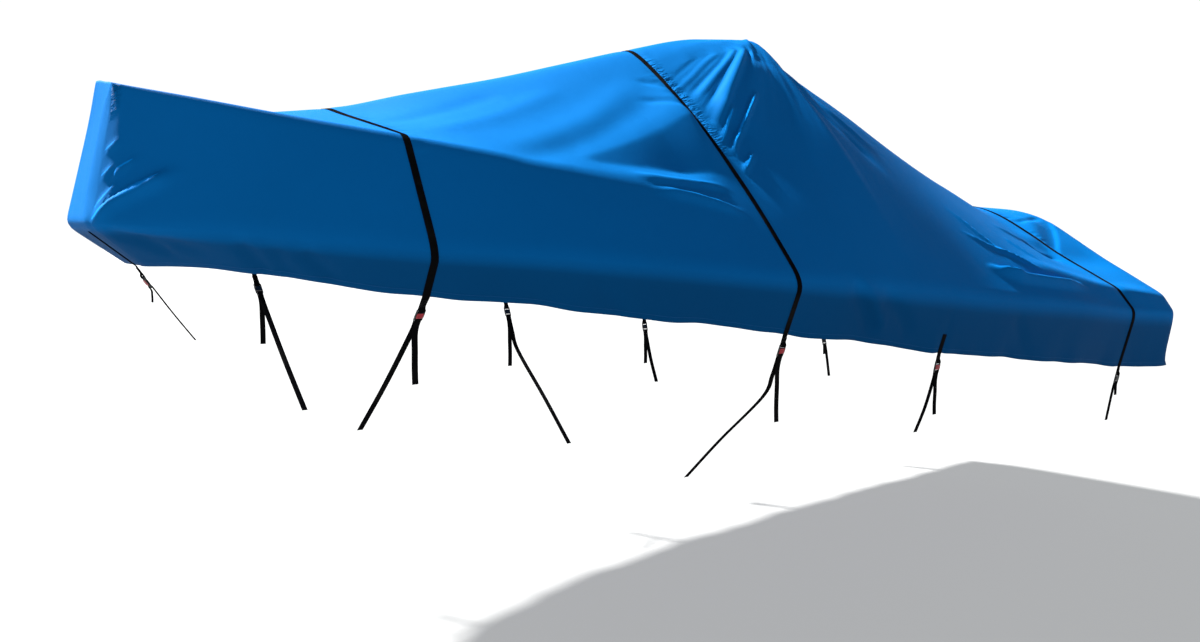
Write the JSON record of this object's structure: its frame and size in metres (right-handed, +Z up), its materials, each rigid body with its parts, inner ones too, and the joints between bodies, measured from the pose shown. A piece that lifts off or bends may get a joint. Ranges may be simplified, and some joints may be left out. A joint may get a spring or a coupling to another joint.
{
  "type": "fitted boat cover",
  "caption": "One-piece fitted cloth cover, draped over a raised peak and drawn down at the hem by webbing with release buckles.",
  "frame": {"origin": "underside of the cloth at the peak, on the centre line, where what it covers holds it up", "axes": "+X from the bow end to the stern end, +Z up, so +Y is starboard"},
  "size_m": [5.292, 2.2878, 2.0096],
  "materials": {
    "cloth": "woven polyester with a faint sheen",
    "webbing": "ribbed woven polypropylene",
    "buckle": "fine moulded grain"
  },
  "bodies": {
    "root": {"cover": "cloth", "over_front": "webbing", "over_mid": "webbing", "over_aft": "webbing", "tab_quarter_port": "webbing", "tab_quarter_starboard": "webbing", "tab_bow": "webbing", "buckle_front_port": "buckle", "tie_front_port": "webbing", "buckle_front_starboard": "buckle", "tie_front_starboard": "webbing", "buckle_mid_port": "buckle", "tie_mid_port": "webbing", "buckle_mid_starboard": "buckle", "tie_mid_starboard": "webbing", "buckle_quarter_port": "buckle", "tie_quarter_port": "webbing", "buckle_quarter_starboard": "buckle", "tie_quarter_starboard": "webbing", "buckle_aft_port": "buckle", "tie_aft_port": "webbing", "buckle_aft_starboard": "buckle", "tie_aft_starboard": "webbing", "buckle_bow": "buckle", "tie_bow": "webbing"}
  },
  "joints": []
}
